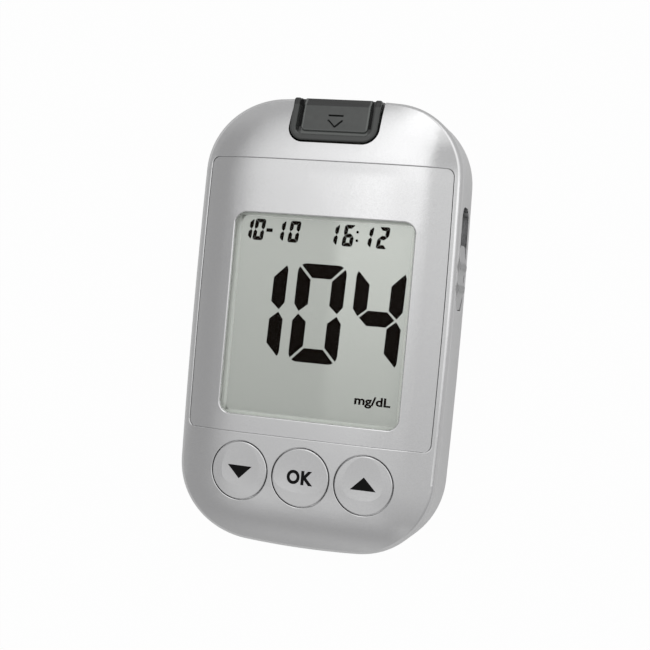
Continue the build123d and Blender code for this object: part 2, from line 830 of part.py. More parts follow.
def port_tray():
    """Thumb tray with the insertion mark, which slopes down at the case's end."""
    tray = under_rim(inside_port(port_rim_width + port_groove_width), port_tray_depth, port_deck)
    tray = fillet(tray.faces().sort_by(Axis.Z)[-1].edges(), port_tray_edge)
    slope_length, slope_fall = port_tray_slope
    slope_start = port_end - slope_length
    tray_z = rim_height(slope_start) - port_tray_depth
    profile = Polyline(
        (slope_start, above_all),
        (slope_start, tray_z),
        (port_end, tray_z - slope_fall),
        (port_end, port_deck - overrun),
        (beyond_end, port_deck - overrun),
        (beyond_end, above_all),
        close=True,
    )
    side = Plane(origin=(-port_width, 0, 0), x_dir=(0, 1, 0), z_dir=(1, 0, 0))
    tray -= extrude(side * make_face(profile), 2 * port_width)
    return tray - over_rim(insert_icon(), port_tray_depth + icon_depth)


def strip_port():
    """Dark insert with a U-shaped rim round a thumb tray, over the strip's slot."""
    cap = port_rim() + port_tray()
    guide_bottom = strip_slot_z - port_guide_drop
    guide_half = port_guide_width / 2
    cap += box_between(
        (-guide_half, guide_half), (port_inner_end, port_end), (guide_bottom, port_deck + overrun)
    )
    plate_start = port_end - port_plate_thickness
    plate_half = port_width / 2
    cap += box_between(
        (-plate_half, plate_half), (plate_start, port_end), (port_base, port_deck + overrun)
    )
    flange_half = plate_half + port_flange_width
    flange_ys = (port_inner_end + port_corner_radius, plate_start - 2 * port_gap)
    flange_zs = (port_deck - port_gap, port_deck + port_flange_height)
    cap += box_between((-flange_half, flange_half), flange_ys, flange_zs)

    slot_half_width = strip_slot_width / 2
    slot_half_height = strip_slot_height / 2
    cap -= box_between(
        (-slot_half_width, slot_half_width),
        (port_inner_end - overrun, beyond_end),
        (strip_slot_z - slot_half_height, strip_slot_z + slot_half_height),
    )
    mouth_plane = Plane(origin=(0, port_end, strip_slot_z), x_dir=(1, 0, 0), z_dir=(0, 1, 0))
    flare = 2 * strip_mouth_flare
    mouth = mouth_plane * Rectangle(strip_slot_width + flare, strip_slot_height + flare)
    throat_plane = mouth_plane.offset(-strip_mouth_flare)
    throat = throat_plane * Rectangle(strip_slot_width, strip_slot_height)
    return cap - loft([throat, mouth])


def strip_connector():
    """Moulded socket under the board that takes the strip's contact end."""
    half = connector_width / 2
    body = box_between(
        (-half, half), (connector_start, connector_end), (connector_bottom, board_bottom)
    )
    slot_half_width = strip_slot_width / 2
    slot_half_height = strip_slot_height / 2
    body -= box_between(
        (-slot_half_width, slot_half_width),
        (connector_start - overrun, connector_end + overrun),
        (strip_slot_z - slot_half_height, strip_slot_z + slot_half_height),
    )
    for x in contact_places:
        channel_half = contact_width / 2 + contact_play
        body -= box_between(
            (x - channel_half, x + channel_half),
            (connector_start - overrun, connector_end - 2 * contact_width),
            (strip_slot_z, board_bottom - contact_thickness),
        )
    return body


def strip_contacts():
    """Sprung contact leaves: a soldered foot, a sloping leaf and an upturned tip."""
    foot_z = board_bottom - contact_thickness / 2
    leaf_z = board_bottom - 4 * contact_thickness
    foot_y = connector_start - contact_foot_length
    tip_y = connector_end - 4 * contact_width
    path = FilletPolyline(
        (foot_y, foot_z),
        (connector_start - 3 * contact_thickness, foot_z),
        (connector_start - contact_thickness, leaf_z),
        (tip_y, contact_tip_z + contact_thickness / 2),
        (tip_y + contact_width, contact_tip_z + 2 * contact_thickness),
        radius=contact_thickness,
    )
    ribbon = trace(path, contact_thickness)
    leaves = []
    for x in contact_places:
        side = Plane(origin=(x - contact_width / 2, 0, 0), x_dir=(0, 1, 0), z_dir=(1, 0, 0))
        leaves.append(extrude(side * ribbon, contact_width))
    return Compound(children=[leaf.solid() for leaf in leaves])


# ---------------------------------------------------------------- strip ejector


def ejector_slider():
    """Thumb slider in the side slot: three scallops between two ridges, and a stem."""
    low = knob_y - knob_length / 2
    high = knob_y + knob_length / 2
    end_x = half_width - knob_end_sink
    ridge_x = half_width + knob_proud
    third = knob_length / 3
    back_x = slot_back + slide_gap
    ridge_half = knob_ridge_width / 2
    ridges = (low + third, high - third)
    dip = knob_scallop_depth
    profile = make_face(
        [
            Line((back_x, low), (end_x, low)),
            ThreePointArc(
                (end_x, low),
                ((end_x + ridge_x) / 2 - dip / 2, (low + ridges[0] - ridge_half) / 2),
                (ridge_x, ridges[0] - ridge_half),
            ),
            Line((ridge_x, ridges[0] - ridge_half), (ridge_x, ridges[0] + ridge_half)),
            ThreePointArc(
                (ridge_x, ridges[0] + ridge_half),
                (ridge_x - dip, knob_y),
                (ridge_x, ridges[1] - ridge_half),
            ),
            Line((ridge_x, ridges[1] - ridge_half), (ridge_x, ridges[1] + ridge_half)),
            ThreePointArc(
                (ridge_x, ridges[1] + ridge_half),
                ((end_x + ridge_x) / 2 - dip / 2, (high + ridges[1] + ridge_half) / 2),
                (end_x, high),
            ),
            Line((end_x, high), (back_x, high)),
            Line((back_x, high), (back_x, low)),
        ]
    )
    height = slot_height - 2 * slot_side_play
    body = extrude(Pos(0, 0, slot_z - height / 2) * profile, height)
    side_plane = Plane(origin=(slot_back, 0, 0), x_dir=(0, 1, 0), z_dir=(1, 0, 0))
    corner = slot_corner_radius - slot_side_play
    outline = Pos(knob_y, slot_z) * RectangleRounded(knob_length, height, corner)
    body &= extrude(side_plane * outline, 2 * slot_depth)
    stem_xs = (carriage_side, back_x + slide_gap)
    stem_ys = (knob_y - stem_length / 2, knob_y + stem_length / 2)
    stem_zs = (slot_z - stem_height / 2, slot_z + stem_height / 2)
    return body + box_between(stem_xs, stem_ys, stem_zs)


def ejector_carriage():
    """Side plate, cross arm and the finger that pushes the used strip out."""
    plate_xs = (carriage_side - carriage_thickness, carriage_side)
    plate_zs = (slot_z - carriage_height / 2, slot_z + carriage_height / 2)
    plate = box_between(plate_xs, (carriage_end, arm_front), plate_zs)
    arm_zs = (arm_z - arm_thickness / 2, arm_z + arm_thickness / 2)
    arm_start = arm_front - arm_width
    arm = box_between((-finger_width / 2, carriage_side), (arm_start, arm_front), arm_zs)
    finger_end = connector_start + finger_gap
    finger_zs = (arm_z - finger_thickness / 2, arm_z + finger_thickness / 2)
    finger = box_between(
        (-finger_width / 2, finger_width / 2), (arm_start, finger_end), finger_zs
    )
    return plate + arm + finger


def ejector_spring():
    """Return spring between the arm and the post on the rear housing."""
    run = spring_length - 4 * spring_wire_radius
    start = arm_front + 2 * spring_wire_radius
    pitch = run / spring_turns
    coil = Helix(pitch, run, spring_radius, (spring_x, start, arm_z), (0, 1, 0))
    section = Plane(origin=coil @ 0, z_dir=coil % 0) * RegularPolygon(spring_wire_radius, wire_side_count)
    return sweep(section, path=coil)


# ---------------------------------------------------------------- batteries


def battery_cell(x, toward_top):
    """Cylindrical cell with bevelled edges and a positive nub."""
    can_length = cell_length - cell_nub_height
    shoulder_radius = cell_radius - cell_edge
    profile = make_face(
        Polyline(
            (0, 0),
            (shoulder_radius, 0),
            (cell_radius, cell_edge),
            (cell_radius, can_length - cell_edge),
            (shoulder_radius, can_length),
            (cell_nub_radius, can_length),
            (cell_nub_radius, cell_length),
            (0, cell_length),
            close=True,
        )
    )
    cell = revolve(Plane.XZ * profile, Axis.Z)
    if toward_top:
        return Pos(x, bay_top - contact_stop - cell_length, cell_z) * Rot(-90, 0, 0) * cell
    return Pos(x, bay_bottom + contact_stop + cell_length, cell_z) * Rot(90, 0, 0) * cell


def contact_plate(x_low, x_high, y_wall, side):
    """A plate on the bay's end wall, seen from the side of the bay that it faces."""
    half = contact_plate_size / 2
    ys = sorted((y_wall, y_wall + side * contact_plate_thickness))
    return box_between((x_low - half, x_high + half), ys, (cell_z - half, cell_z + half))


def contact_dimple(x, y_wall, side):
    """The raised pad that meets a cell's nub."""
    plate_y = y_wall + side * contact_plate_thickness
    pad = Cone(contact_dimple_radius, contact_dimple_radius / 2, contact_dimple_height)
    middle = plate_y + side * contact_dimple_height / 2
    return Pos(x, middle, cell_z) * Rot(-90 * side, 0, 0) * pad


def contact_leg(x):
    """The tab that carries the contact up to the board."""
    half = contact_leg_width / 2
    ys = (bay_top - contact_plate_thickness, bay_top)
    return box_between((x - half, x + half), ys, (cell_z, board_bottom))


def battery_spring(x, y_wall, side):
    """Coil that presses on a cell's flat end."""
    run = battery_spring_space - contact_plate_thickness - 2 * battery_spring_wire
    start = y_wall + side * (contact_plate_thickness + battery_spring_wire)
    pitch = run / battery_spring_turns
    coil = Helix(pitch, run, battery_spring_radius, (x, start, cell_z), (0, side, 0))
    section = Plane(origin=coil @ 0, z_dir=coil % 0) * RegularPolygon(battery_spring_wire, wire_side_count)
    return sweep(section, path=coil)


def positive_contact():
    """Plate with a dimple, at the top of the left cell."""
    plate = contact_plate(left_cell_x, left_cell_x, bay_top, -1)
    return plate + contact_dimple(left_cell_x, bay_top, -1) + contact_leg(left_cell_x)


def negative_contact():
    """Plate behind the spring, at the top of the right cell."""
    plate = contact_plate(right_cell_x, right_cell_x, bay_top, -1)
    return plate + contact_leg(right_cell_x)


def bridge_contact():
    """Plate at the bottom that joins both cells."""
    plate = contact_plate(left_cell_x, right_cell_x, bay_bottom, 1)
    return plate + contact_dimple(right_cell_x, bay_bottom, 1)


def battery_door():
    """Sliding door with tongues along its sides and grip grooves across it."""
    door = outer_block(0) & prism(door_outline(), 0, door_thickness)
    rail_x = door_half_width + door_rail_width
    rail_ys = (rear_edge_radius - half_length, door_top - door_rail_end_gap)
    door += box_between(
        (-rail_x, rail_x), rail_ys, (door_rail_z, door_rail_z + door_rail_height)
    )
    for i in range(door_grip_count):
        y = door_grip_y + (i - (door_grip_count - 1) / 2) * door_grip_pitch
        z = door_grip_depth - door_grip_radius
        door -= Pos(0, y, z) * Rot(0, 90, 0) * Cylinder(door_grip_radius, door_grip_length)
    return door


# ---------------------------------------------------------------- screws


def case_screw(x, y):
    """Pan-head screw with a cross recess, driven from the back."""
    head_bottom = screw_seat_z - screw_head_height
    screw = disc(screw_head_radius, x, y, head_bottom, screw_seat_z)
    screw = chamfer(screw.faces().sort_by(Axis.Z)[0].edges(), screw_head_height / 3)
    screw += disc(screw_shank_radius, x, y, screw_seat_z, screw_seat_z + screw_length)
    recess_z = head_bottom + screw_drive_depth / 2
    for angle in (0, 90):
        bar = Box(screw_drive_length, screw_drive_width, screw_drive_depth)
        screw -= Pos(x, y, recess_z) * Rot(0, 0, angle) * bar
    return screw


def case_screws():
    """The four screws that hold the two housings together."""
    return Compound(children=[case_screw(x, y).solid() for x, y in screw_places])


# ---------------------------------------------------------------- assembly

parts = {
    "front_housing": front_housing(),
    "rear_housing": rear_housing(),
    "face_panel": face_panel(),
    "window_lens": window_lens(),
    "lcd_gasket": lcd_gasket(),
    "lcd_glass": lcd_glass(),
    "lcd_frame": lcd_frame(),
    "zebra_strip_top": zebra_strip(1),
    "zebra_strip_bottom": zebra_strip(-1),
    "main_board": main_board(),
    "mcu_chip": chip(mcu_size, mcu_place, lead_count),
    "memory_chip": chip(memory_size, memory_place),
    "crystal": crystal(),
    "buzzer": buzzer(),
    "strip_port": strip_port(),
    "strip_connector": strip_connector(),
    "strip_contacts": strip_contacts(),
    "ejector_slider": ejector_slider(),
    "ejector_carriage": ejector_carriage(),
    "ejector_spring": ejector_spring(),
    "battery_door": battery_door(),
    "battery_cell_left": battery_cell(left_cell_x, True),
    "battery_cell_right": battery_cell(right_cell_x, False),
    "battery_contact_positive": positive_contact(),
    "battery_contact_negative": negative_contact(),
    "battery_contact_bridge": bridge_contact(),
    "battery_spring_left": battery_spring(left_cell_x, bay_bottom, 1),
    "battery_spring_right": battery_spring(right_cell_x, bay_top, -1),
    "case_screws": case_screws(),
}
for key_name, key_x in key_places.items():
    parts[f"{key_name}_key"] = key_cap(key_x)
    parts[f"{key_name}_switch"] = key_switch(key_x)
    parts[f"{key_name}_plunger"] = key_plunger(key_x)

os.makedirs("parts", exist_ok=True)
for node, part in parts.items():
    export_step(part, f"parts/{node}.step")
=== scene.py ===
import json
import math

import bmesh
import bpy
from mathutils import Matrix, Vector


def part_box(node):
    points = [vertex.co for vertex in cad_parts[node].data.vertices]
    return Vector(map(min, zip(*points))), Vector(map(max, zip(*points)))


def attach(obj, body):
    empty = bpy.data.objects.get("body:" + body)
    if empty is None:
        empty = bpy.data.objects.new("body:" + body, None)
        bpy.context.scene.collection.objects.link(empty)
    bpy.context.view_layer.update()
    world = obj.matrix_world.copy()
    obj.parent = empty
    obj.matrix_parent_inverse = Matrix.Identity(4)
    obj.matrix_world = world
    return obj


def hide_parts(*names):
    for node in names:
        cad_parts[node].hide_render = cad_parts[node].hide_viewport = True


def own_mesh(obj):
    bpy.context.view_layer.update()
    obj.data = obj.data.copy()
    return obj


# A blood glucose meter that lies on its back, in metres. +X is to the right of the display, +Y
# points to the strip port and +Z out of the display.

bl_info = {
    "name": "Blood Glucose Meter",
    "version": (1, 0, 0),
    "blender": (4, 5, 0),
    "location": "View3D > Sidebar > Meter",
    "description": "Finishes, display, marks and studio for a blood glucose meter",
    "category": "Object",
}

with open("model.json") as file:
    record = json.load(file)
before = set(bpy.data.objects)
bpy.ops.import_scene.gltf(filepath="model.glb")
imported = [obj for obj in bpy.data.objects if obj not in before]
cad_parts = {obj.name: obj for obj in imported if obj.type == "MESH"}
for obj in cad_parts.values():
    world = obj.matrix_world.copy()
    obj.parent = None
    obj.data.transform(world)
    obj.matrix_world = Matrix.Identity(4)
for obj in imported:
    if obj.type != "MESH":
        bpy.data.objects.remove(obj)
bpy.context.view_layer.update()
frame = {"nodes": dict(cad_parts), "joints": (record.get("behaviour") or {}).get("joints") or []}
nodes = frame["nodes"]

MM = 0.001
KEY_NAMES = ("down", "ok", "up")
WHITE = (1, 1, 1, 1)
SAME_PLACE = 0.0001 * MM  # points closer than this are one


def node_middle(name):
    """The middle of a CAD node's box."""
    low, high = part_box(name)
    return (low + high) / 2


def joint_travel(name):
    """How far a joint goes from rest."""
    for joint in frame["joints"]:
        if joint["name"] == name:
            return joint["range_m"][1]
    raise RuntimeError(f"the frame has no joint named {name}")


# ---------------------------------------------------------------- settings


class MeterStageSettings(bpy.types.PropertyGroup):
    """Camera, floor and light."""

    lens: bpy.props.FloatProperty(
        name="Lens", description="Focal length on a 36 mm wide sensor", default=68.348, unit="CAMERA"
    )
    camera_place: bpy.props.FloatVectorProperty(
        name="Camera place",
        description="Where the camera stands",
        default=(0.070403, 0.002126, 0.261852),
        subtype="TRANSLATION",
    )
    camera_tilt: bpy.props.FloatVectorProperty(
        name="Camera turn",
        description="How the meter is turned before a camera that looks straight down",
        default=(0.009, -0.274, -0.089),
        subtype="EULER",
    )
    floor_size: bpy.props.FloatProperty(
        name="Floor size", description="Side of the square floor", default=3.0, unit="LENGTH"
    )
    floor_colour: bpy.props.FloatVectorProperty(
        name="Floor", description="Colour of the floor", default=(0.66, 0.66, 0.66), subtype="COLOR"
    )
    room_light: bpy.props.FloatProperty(
        name="Room light", description="Strength of the studio's walls", default=1.0, min=0.0
    )


class MeterPaintSettings(bpy.types.PropertyGroup):
    """Colours of the case."""

    silver: bpy.props.FloatVectorProperty(
        name="Silver", description="Lacquer of the case", default=(0.72, 0.72, 0.725), subtype="COLOR"
    )
    silver_roughness: bpy.props.FloatProperty(
        name="Silver roughness",
        description="How satin the lacquer is",
        default=0.15,
        min=0.0,
        max=1.0,
        subtype="FACTOR",
    )
    port: bpy.props.FloatVectorProperty(
        name="Port",
        description="Dark moulding of the strip port",
        default=(0.062, 0.066, 0.063),
        subtype="COLOR",
    )
    slider: bpy.props.FloatVectorProperty(
        name="Slider",
        description="Light moulding of the side slider",
        default=(0.55, 0.55, 0.55),
        subtype="COLOR",
    )


class MeterDisplaySettings(bpy.types.PropertyGroup):
    """The display and its figures."""

    glass_width: bpy.props.FloatProperty(
        name="Glass width", description="Width of the front glass", default=0.0393, unit="LENGTH"
    )
    glass_length: bpy.props.FloatProperty(
        name="Glass length", description="Length of the front glass", default=0.0433, unit="LENGTH"
    )
    glass_corner: bpy.props.FloatProperty(
        name="Glass corner", description="Corner radius of the front glass", default=0.0018, unit="LENGTH"
    )
    rim_width: bpy.props.FloatProperty(
        name="Rim width", description="Width of the glass's matt rim", default=0.00135, unit="LENGTH"
    )
    background: bpy.props.FloatVectorProperty(
        name="Background",
        description="Reflector behind the liquid crystal",
        default=(0.62, 0.622, 0.604),
        subtype="COLOR",
    )
    ink: bpy.props.FloatVectorProperty(
        name="Segments",
        description="Colour of a segment that is on",
        default=(0.006, 0.004, 0.003),
        subtype="COLOR",
    )
    reading: bpy.props.StringProperty(name="Reading", description="Large figures", default="104")
    reading_height: bpy.props.FloatProperty(
        name="Reading height", description="Height of the large figures", default=0.0205, unit="LENGTH"
    )
    small_height: bpy.props.FloatProperty(
        name="Small height", description="Height of the date and the time", default=0.0045, unit="LENGTH"
    )
    segment_thickness: bpy.props.FloatProperty(
        name="Segment thickness", description="Thickness of a segment", default=0.00002, unit="LENGTH"
    )


class MeterKeySettings(bpy.types.PropertyGroup):
    """The marks on the keys."""

    mark: bpy.props.FloatVectorProperty(
        name="Mark", description="Ink of the key marks", default=(0.012, 0.012, 0.012), subtype="COLOR"
    )
    mark_lift: bpy.props.FloatProperty(
        name="Mark lift", description="Thickness of the ink on a key", default=0.000015, unit="LENGTH"
    )


# ---------------------------------------------------------------- materials


def calculate(tree, operation, *values):
    """A maths node on sockets or plain numbers; gives its output socket."""
    made = tree.nodes.new("ShaderNodeMath")
    made.operation = operation
    for socket, value in zip(made.inputs, values):
        if isinstance(value, bpy.types.NodeSocket):
            tree.links.new(value, socket)
        else:
            socket.default_value = value
    return made.outputs[0]


def soft_edge(tree, value, edge):
    """Rises from 0 where the value is the edge's first number to 1 where it's the second."""
    ramp = tree.nodes.new("ShaderNodeMapRange")
    ramp.interpolation_type = "SMOOTHSTEP"
    ramp.inputs["From Min"].default_value, ramp.inputs["From Max"].default_value = edge
    tree.links.new(value, ramp.inputs["Value"])
    return ramp.outputs[0]


class Recipe:
    """A material's node tree, with short calls for the nodes that the finishes share."""

    def __init__(self, name):
        self.material = bpy.data.materials.new(name)
        self.material.use_nodes = True
        self.tree = self.material.node_tree
        self.shader = self.tree.nodes["Principled BSDF"]
        self.place = self.tree.nodes.new("ShaderNodeTexCoord").outputs["Object"]

    def node(self, kind, **inputs):
        """A new node with the given values on its sockets."""
        made = self.tree.nodes.new(kind)
        for name, value in inputs.items():
            made.inputs[name].default_value = value
        return made

    def join(self, source, target):
        """Links one socket to another."""
        self.tree.links.new(source, target)

    def set(self, **values):
        """Plain values on the shader's own sockets, with _ for a space in a socket's name."""
        for name, value in values.items():
            self.shader.inputs[name.replace("_", " ")].default_value = value

    def noise(self, size, detail=2.0):
        """Noise from 0 to 1 whose grains are about this large, in metres."""
        made = self.node("ShaderNodeTexNoise", Scale=1 / size, Detail=detail)
        self.join(self.place, made.inputs["Vector"])
        return made.outputs["Fac"]

    def spread(self, source, low, high):
        """Noise, most of which lies between 0.3 and 0.7, stretched to run from low to high."""
        made = self.tree.nodes.new("ShaderNodeMapRange")
        for name, value in (("From Min", 0.3), ("From Max", 0.7), ("To Min", low), ("To Max", high)):
            made.inputs[name].default_value = value
        self.join(source, made.inputs["Value"])
        return made.outputs["Result"]

    def tint(self, source, low, high):
        """A colour that runs from low to high with the source; either may come from another node."""
        # A colour Mix node has its factor in input 0, its colours in 6 and 7, and its result in output 2.
        made = self.tree.nodes.new("ShaderNodeMix")
        made.data_type = "RGBA"
        for socket, colour in ((made.inputs[6], low), (made.inputs[7], high)):
            if isinstance(colour, bpy.types.NodeSocket):
                self.join(colour, socket)
            else:
                socket.default_value = (*colour, 1)
        self.join(source, made.inputs[0])
        return made.outputs[2]

    def coordinate(self, axis):
        """Where a point of the surface is along an axis."""
        split = self.tree.nodes.new("ShaderNodeSeparateXYZ")
        self.join(self.place, split.inputs[0])
        return split.outputs[axis]

    def band(self, value, *edges):
        """1 between a rising and a falling soft edge, or after one rising edge; edges in millimetres."""
        share = 1.0
        for start, end in edges:
            ramp = soft_edge(self.tree, value, (start * MM, end * MM))
            share = calculate(self.tree, "MULTIPLY", share, ramp)
        return share

    def vary_colour(self, colour, share, size):
        """The colour goes up and down by this share, in patches of this size."""
        low = [channel * (1 - share) for channel in colour]
        high = [channel * (1 + share) for channel in colour]
        factor = self.spread(self.noise(size), 0, 1)
        self.join(self.tint(factor, low, high), self.shader.inputs["Base Color"])

    def vary_roughness(self, roughness, swing, size):
        """The roughness goes up and down by the swing, in patches of this size."""
        source = self.spread(self.noise(size), roughness - swing, roughness + swing)
        self.join(source, self.shader.inputs["Roughness"])

    def bump(self, height, size):
        """A fine relief of this height, in grains of this size."""
        made = self.node("ShaderNodeBump", Strength=1.0, Distance=height)
        self.join(self.noise(size, detail=3.0), made.inputs["Height"])
        self.join(made.outputs["Normal"], self.shader.inputs["Normal"])


def silver_lacquer(name, colour, roughness):
    """Satin silver lacquer: fine metal flakes and a faint orange peel."""
    recipe = Recipe(name)
    recipe.vary_colour(colour, share=0.035, size=0.22 * MM)
    recipe.vary_roughness(roughness, swing=0.03, size=0.4 * MM)
    recipe.bump(height=0.004 * MM, size=0.5 * MM)
    recipe.set(Metallic=0.95)
    return recipe


def printed(name, colour, roughness):
    """Dull ink without any shine."""
    recipe = Recipe(name)
    recipe.vary_colour(colour, share=0.1, size=0.2 * MM)
    recipe.vary_roughness(roughness, swing=0.05, size=0.2 * MM)
    recipe.set(Specular_IOR_Level=0.0)
    return recipe.material


def moulding(name, colour, roughness, grain=0.3 * MM, relief=0.004 * MM, metallic=0.0):
    """A plastic moulding with the fine grain of its tool."""
    recipe = Recipe(name)
    recipe.vary_colour(colour, share=0.06, size=grain * 6)
    recipe.vary_roughness(roughness, swing=0.05, size=grain * 3)
    recipe.bump(height=relief, size=grain)
    recipe.set(Metallic=metallic)
    return recipe.material


def plated(name, colour, roughness):
    """Bare or plated metal with a little uneven polish."""
    grain = 0.2 * MM
    recipe = Recipe(name)
    recipe.vary_colour(colour, share=0.05, size=grain * 8)
    recipe.vary_roughness(roughness, swing=0.08, size=grain * 4)
    recipe.bump(height=0.002 * MM, size=grain)
    recipe.set(Metallic=1.0)
    return recipe.material


def dress(node, material):
    """Puts a material on a CAD node."""
    mesh = nodes[node].data
    if not mesh.materials:
        mesh.materials.append(material)
    for index in range(len(mesh.materials)):
        mesh.materials[index] = material


# ---------------------------------------------------------------- mesh helpers


def finish_piece(name, mesh, material, body="root"):
    """Links a mesh as a named piece of the meter, on one of its bodies."""
    mesh.materials.append(material)
    piece = bpy.data.objects.new(name, mesh)
    bpy.context.scene.collection.objects.link(piece)
    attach(piece, body)
    return piece


def thicken(made, thickness):
    """Turns the flat faces of a bmesh into thin solids, whose tops are this much higher."""
    raised = bmesh.ops.extrude_face_region(made, geom=made.faces[:])
    top = [item for item in raised["geom"] if isinstance(item, bmesh.types.BMVert)]
    bmesh.ops.translate(made, vec=(0, 0, thickness), verts=top)
    bmesh.ops.recalc_face_normals(made, faces=made.faces)


def write_mesh(made, mesh):
    """Writes a bmesh into a mesh and frees it."""
    made.to_mesh(mesh)
    made.free()
    return mesh


def flat_mesh(name, outlines, height, thickness):
    """Closed flat outlines raised from one height by a thickness, as one mesh of thin solids."""
    made = bmesh.new()
    for outline in outlines:
        made.faces.new([made.verts.new((x, y, height)) for x, y in outline])
    bmesh.ops.recalc_face_normals(made, faces=made.faces)
    thicken(made, thickness)
    return write_mesh(made, bpy.data.meshes.new(name))


def lettering(text, size, embolden=0.0):
    """A flat mesh of some text in the built-in typeface, with its lower left corner at the origin."""
    curve = bpy.data.curves.new("lettering", "FONT")
    curve.body = text
    curve.size = size
    curve.offset = embolden
    curve.resolution_u = 6
    made = bpy.data.objects.new("lettering", curve)
    bpy.context.scene.collection.objects.link(made)
    bpy.context.view_layer.update()
    evaluated = made.evaluated_get(bpy.context.evaluated_depsgraph_get())
    mesh = bpy.data.meshes.new_from_object(evaluated)
    bpy.data.objects.remove(made)
    bpy.data.curves.remove(curve)
    low_x = min(vertex.co.x for vertex in mesh.vertices)
    low_y = min(vertex.co.y for vertex in mesh.vertices)
    mesh.transform(Matrix.Translation((-low_x, -low_y, 0)))
    return mesh


def fit_to(mesh, low, high):
    """Stretches a flat mesh to lie between two corners."""
    for axis in range(2):
        places = [vertex.co[axis] for vertex in mesh.vertices]
        start = min(places)
        length = max(places) - start
        for vertex in mesh.vertices:
            share = (vertex.co[axis] - start) / length
            vertex.co[axis] = low[axis] + share * (high[axis] - low[axis])


def raise_mesh(mesh, height, thickness):
    """Turns a flat mesh into a thin solid that stands on a height."""
    made = bmesh.new()
    made.from_mesh(mesh)
    bmesh.ops.remove_doubles(made, verts=made.verts, dist=SAME_PLACE)
    for vertex in made.verts:
        vertex.co.z = height
    thicken(made, thickness)
    write_mesh(made, mesh)


def print_on(carrier, mesh, lift):
    """Lays a flat mesh on a CAD object, as ink that stands out of its surface by the lift."""
    longest_edge = 0.4 * MM
    most_rounds = 6
    above = 100 * MM
    down = Vector((0, 0, -1))
    made = bmesh.new()
    made.from_mesh(mesh)
    bmesh.ops.remove_doubles(made, verts=made.verts, dist=SAME_PLACE)
    bmesh.ops.triangulate(made, faces=made.faces)
    for _ in range(most_rounds):
        long_edges = [edge for edge in made.edges if edge.calc_length() > longest_edge]
        if not long_edges:
            break
        bmesh.ops.subdivide_edges(made, edges=long_edges, cuts=1)
        bmesh.ops.triangulate(made, faces=made.faces)
    for vertex in made.verts:
        hit, point, _, _ = carrier.ray_cast(Vector((vertex.co.x, vertex.co.y, above)), down)
        if not hit:
            raise RuntimeError("a mark lies off its carrier")
        vertex.co.z = point.z - lift
    thicken(made, 2 * lift)
    write_mesh(made, mesh)


def coil(name, node, wire, turns, taper=1.0):
    """A spring along Y with closed end turns, in a CAD node's room; wire is the wire's radius."""
    steps = 24
    sides = 8
    low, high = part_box(node)
    middle = (low + high) / 2
    radius = (high.x - low.x) / 2 - wire
    end_pitch = 2.1 * wire  # the end turns all but touch
    open_pitch = (high.y - low.y - 2 * wire - 2 * end_pitch) / (turns - 2)
    made = bmesh.new()
    rings = []
    for step in range(turns * steps + 1):
        turn = step / steps
        angle = math.tau * turn
        inner = min(max(turn - 1, 0), turns - 2)
        along = low.y + wire + inner * open_pitch + (turn - inner) * end_pitch
        out = Vector((math.cos(angle), 0, math.sin(angle)))
        centre = Vector((middle.x, along, middle.z)) + out * radius * (1 + (taper - 1) * turn / turns)
        ring = []
        for side in range(sides):
            around = math.tau * side / sides
            offset = out * math.cos(around) + Vector((0, math.sin(around), 0))
            ring.append(made.verts.new(centre + wire * offset))
        rings.append(ring)
    for first, second in zip(rings, rings[1:]):
        for side in range(sides):
            other = (side + 1) % sides
            made.faces.new((first[side], first[other], second[other], second[side]))
    made.faces.new(rings[0])
    made.faces.new(rings[-1])
    bmesh.ops.recalc_face_normals(made, faces=made.faces)
    for face in made.faces:
        face.smooth = len(face.verts) == 4
    return write_mesh(made, bpy.data.meshes.new(name))


# ---------------------------------------------------------------- display figures

LIT = {
    "0": "abcdef",
    "1": "bc",
    "2": "abdeg",
    "3": "abcdg",
    "4": "bcfg",
    "5": "acdfg",
    "6": "acdefg",
    "7": "abc",
    "8": "abcdefg",
    "9": "abcdfg",
}


def corner_arc(centre, radius, start, end, steps=4):
    """Points on an arc between two angles in degrees."""
    points = []
    for step in range(steps + 1):
        angle = math.radians(start + (end - start) * step / steps)
        points.append((centre[0] + radius * math.cos(angle), centre[1] + radius * math.sin(angle)))
    return points


def digit_segments(width, height, stroke, gap):
    """The outlines of the seven segments of a figure, in a box with its corner at the origin."""
    radius = stroke * 0.65
    half = height / 2
    mitre = 1.6 * gap
    tip = stroke * 0.38
    shoulder = stroke * 0.6
    inner_shoulder = stroke * 0.62
    bar = stroke * 0.53
    cut = math.degrees(math.asin(gap / radius))
    top_left = (radius, height - radius)

    def across(points):
        return [(width - x, y) for x, y in points]

    def below(points):
        return [(x, height - y) for x, y in points]

    top = corner_arc(top_left, radius, 135 - cut, 90)
    top += across(reversed(top))
    top += [(width - stroke - gap, height - stroke), (stroke + gap, height - stroke)]
    upper_left = corner_arc(top_left, radius, 135 + cut, 180)
    upper_left += [(0, half + shoulder), (tip, half + gap), (stroke, half + inner_shoulder)]
    upper_left += [(stroke, height - stroke - mitre)]
    middle = [(tip + mitre, half), (stroke + gap, half + bar), (width - stroke - gap, half + bar)]
    middle += [(width - x, height - y) for x, y in middle]
    return {
        "a": top,
        "b": across(upper_left),
        "c": below(across(upper_left)),
        "d": below(top),
        "e": below(upper_left),
        "f": upper_left,
        "g": middle,
    }


def figure(character, corner, width, height, stroke, slant, gap):
    """The lit segments of a figure whose lower left corner is at a point; it leans by the slant."""
    shapes = digit_segments(width, height, stroke, gap)
    outlines = []
    for name in LIT[character]:
        outline = shapes[name]
        outlines.append([(corner[0] + x + slant * y, corner[1] + y) for x, y in outline])
    return outlines


# The small figures of the display, and where each one starts, in millimetres to the right of the
# window's middle.
SMALL_FIGURES = {
    "date": (("1", -18.5), ("0", -15.9), ("1", -11.45), ("0", -8.2)),
    "time": (("1", 0.13), ("6", 3.52), ("1", 7.4), ("2", 10.79)),
}


